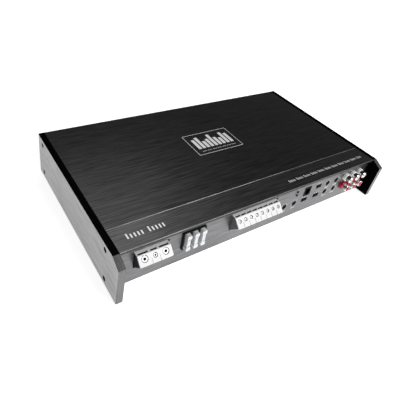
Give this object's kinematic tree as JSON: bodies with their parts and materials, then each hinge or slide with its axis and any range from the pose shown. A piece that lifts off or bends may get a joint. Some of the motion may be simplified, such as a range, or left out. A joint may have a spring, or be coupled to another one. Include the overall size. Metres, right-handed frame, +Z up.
{
  "type": "car amplifier",
  "caption": "Flat car audio amplifier: brushed black heatsink case between end plates, with screw terminals, blade fuses, trim controls and phono sockets along the front.",
  "frame": {"origin": "centre of the rectangle that the case stands on", "axes": "+X along the case, to the right as seen from the connectors; the connectors face -Y; +Z up"},
  "size_m": [0.364, 0.2094, 0.0508],
  "materials": {
    "anodised_aluminium": "black anodised, brushed along its length",
    "panel_aluminium": "dark anodised, brushed",
    "black_steel": "black oxide",
    "bright_steel": "bright zinc",
    "nickel": "nickel plated",
    "white_plastic": "moulded, satin gloss",
    "black_plastic": "moulded, matt",
    "knob_plastic": "moulded, matt",
    "clear_plastic": "clear, slightly milky",
    "fuse_metal": "tinned zinc",
    "jack_white": "moulded",
    "jack_red": "moulded",
    "contact_metal": "gold plated",
    "green_board": "solder mask",
    "ferrite": "sintered",
    "enamelled_copper": "enamelled wire",
    "capacitor_sleeve": "sleeved can",
    "lamp_lens": "smoked, unlit"
  },
  "bodies": {
    "case": {"heatsink_shell": "anodised_aluminium", "bottom_tray": "anodised_aluminium", "front_panel": "panel_aluminium", "end_plate_left": "anodised_aluminium", "end_plate_right": "anodised_aluminium", "end_plate_screws": "black_steel", "circuit_board": "green_board", "control_board": "green_board", "board_standoffs": "bright_steel", "inner_screws": "bright_steel", "toroid_core": "ferrite", "toroid_winding": "enamelled_copper", "filter_capacitors": "capacitor_sleeve", "power_transistors": "black_plastic", "transistor_clamp_bars": "bright_steel", "power_terminal_housing": "white_plastic", "power_terminal_clamps": "nickel", "speaker_terminal_housing": "white_plastic", "speaker_terminal_clamps": "nickel", "fuse_holder": "black_plastic", "fuse_holder_contacts": "contact_metal", "trim_pot_bodies": "black_plastic", "slide_switch_bodies": "black_plastic", "status_leds": "lamp_lens", "remote_jack_housing": "black_plastic", "remote_jack_contacts": "contact_metal", "phono_jack_housing": "black_plastic", "phono_barrels": "nickel", "phono_inserts_white": "jack_white", "phono_inserts_red": "jack_red", "phono_pins": "nickel", "positive_pressure_foot": "nickel", "remote_pressure_foot": "nickel", "negative_pressure_foot": "nickel"},
    "front_gain_knob": {"front_gain_knob": "knob_plastic"},
    "front_crossover_knob": {"front_crossover_knob": "knob_plastic"},
    "rear_gain_knob": {"rear_gain_knob": "knob_plastic"},
    "rear_crossover_knob": {"rear_crossover_knob": "knob_plastic"},
    "rear_highpass_knob": {"rear_highpass_knob": "knob_plastic"},
    "bass_boost_knob": {"bass_boost_knob": "knob_plastic"},
    "front_filter_slider": {"front_filter_slider": "knob_plastic"},
    "rear_filter_slider": {"rear_filter_slider": "knob_plastic"},
    "input_mode_slider": {"input_mode_slider": "knob_plastic"},
    "fuse_1": {"fuse_1_body": "clear_plastic", "fuse_1_blades": "fuse_metal"},
    "fuse_2": {"fuse_2_body": "clear_plastic", "fuse_2_blades": "fuse_metal"},
    "fuse_3": {"fuse_3_body": "clear_plastic", "fuse_3_blades": "fuse_metal"},
    "positive_screw": {"positive_clamp_screw": "nickel"},
    "remote_screw": {"remote_clamp_screw": "nickel"},
    "negative_screw": {"negative_clamp_screw": "nickel"},
    "speaker_1_screw": {"speaker_screw_1": "nickel"},
    "speaker_2_screw": {"speaker_screw_2": "nickel"},
    "speaker_3_screw": {"speaker_screw_3": "nickel"},
    "speaker_4_screw": {"speaker_screw_4": "nickel"},
    "speaker_5_screw": {"speaker_screw_5": "nickel"},
    "speaker_6_screw": {"speaker_screw_6": "nickel"},
    "speaker_7_screw": {"speaker_screw_7": "nickel"},
    "speaker_8_screw": {"speaker_screw_8": "nickel"}
  },
  "joints": [
    {"name": "front_gain_turn", "type": "hinge", "parent": "case", "child": "front_gain_knob", "pos_m": [0.0292, -0.08745, 0.0216], "axis": [0, 1, 0], "range_deg": [-140, 140]},
    {"name": "front_crossover_turn", "type": "hinge", "parent": "case", "child": "front_crossover_knob", "pos_m": [0.0452, -0.08745, 0.0216], "axis": [0, 1, 0], "range_deg": [-140, 140]},
    {"name": "rear_gain_turn", "type": "hinge", "parent": "case", "child": "rear_gain_knob", "pos_m": [0.0986, -0.08745, 0.0216], "axis": [0, 1, 0], "range_deg": [-140, 140]},
    {"name": "rear_crossover_turn", "type": "hinge", "parent": "case", "child": "rear_crossover_knob", "pos_m": [0.1146, -0.08745, 0.0216], "axis": [0, 1, 0], "range_deg": [-140, 140]},
    {"name": "rear_highpass_turn", "type": "hinge", "parent": "case", "child": "rear_highpass_knob", "pos_m": [0.0986, -0.08745, 0.0344], "axis": [0, 1, 0], "range_deg": [-140, 140]},
    {"name": "bass_boost_turn", "type": "hinge", "parent": "case", "child": "bass_boost_knob", "pos_m": [0.1146, -0.08745, 0.0344], "axis": [0, 1, 0], "range_deg": [-140, 140]},
    {"name": "front_filter_slide", "type": "slide", "parent": "case", "child": "front_filter_slider", "axis": [1, 0, 0], "range_m": [-0.002, 0.002]},
    {"name": "rear_filter_slide", "type": "slide", "parent": "case", "child": "rear_filter_slider", "axis": [1, 0, 0], "range_m": [-0.002, 0.002]},
    {"name": "input_mode_slide", "type": "slide", "parent": "case", "child": "input_mode_slider", "axis": [1, 0, 0], "range_m": [-0.002, 0.002]},
    {"name": "fuse_1_pull", "type": "slide", "parent": "case", "child": "fuse_1", "axis": [0, -1, 0], "range_m": [0, 0.018]},
    {"name": "fuse_2_pull", "type": "slide", "parent": "case", "child": "fuse_2", "axis": [0, -1, 0], "range_m": [0, 0.018]},
    {"name": "fuse_3_pull", "type": "slide", "parent": "case", "child": "fuse_3", "axis": [0, -1, 0], "range_m": [0, 0.018]},
    {"name": "positive_screw_turn", "type": "hinge", "parent": "case", "child": "positive_screw", "pos_m": [-0.15255, -0.08945, 0.0298], "axis": [0, 0.7071, -0.7071], "range_deg": [0, 1080]},
    {"name": "remote_screw_turn", "type": "hinge", "parent": "case", "child": "remote_screw", "pos_m": [-0.14195, -0.08945, 0.0298], "axis": [0, 0.7071, -0.7071], "range_deg": [0, 720]},
    {"name": "negative_screw_turn", "type": "hinge", "parent": "case", "child": "negative_screw", "pos_m": [-0.13135, -0.08945, 0.0298], "axis": [0, 0.7071, -0.7071], "range_deg": [0, 1080]},
    {"name": "speaker_screw_1_turn", "type": "hinge", "parent": "case", "child": "speaker_1_screw", "pos_m": [-0.04507, -0.0891, 0.02995], "axis": [0, 0.7071, -0.7071], "range_deg": [0, 1080]},
    {"name": "speaker_screw_2_turn", "type": "hinge", "parent": "case", "child": "speaker_2_screw", "pos_m": [-0.03745, -0.0891, 0.02995], "axis": [0, 0.7071, -0.7071], "range_deg": [0, 1080]},
    {"name": "speaker_screw_3_turn", "type": "hinge", "parent": "case", "child": "speaker_3_screw", "pos_m": [-0.02983, -0.0891, 0.02995], "axis": [0, 0.7071, -0.7071], "range_deg": [0, 1080]},
    {"name": "speaker_screw_4_turn", "type": "hinge", "parent": "case", "child": "speaker_4_screw", "pos_m": [-0.02221, -0.0891, 0.02995], "axis": [0, 0.7071, -0.7071], "range_deg": [0, 1080]},
    {"name": "speaker_screw_5_turn", "type": "hinge", "parent": "case", "child": "speaker_5_screw", "pos_m": [-0.01459, -0.0891, 0.02995], "axis": [0, 0.7071, -0.7071], "range_deg": [0, 1080]},
    {"name": "speaker_screw_6_turn", "type": "hinge", "parent": "case", "child": "speaker_6_screw", "pos_m": [-0.00697, -0.0891, 0.02995], "axis": [0, 0.7071, -0.7071], "range_deg": [0, 1080]},
    {"name": "speaker_screw_7_turn", "type": "hinge", "parent": "case", "child": "speaker_7_screw", "pos_m": [0.00065, -0.0891, 0.02995], "axis": [0, 0.7071, -0.7071], "range_deg": [0, 1080]},
    {"name": "speaker_screw_8_turn", "type": "hinge", "parent": "case", "child": "speaker_8_screw", "pos_m": [0.00827, -0.0891, 0.02995], "axis": [0, 0.7071, -0.7071], "range_deg": [0, 1080]}
  ]
}
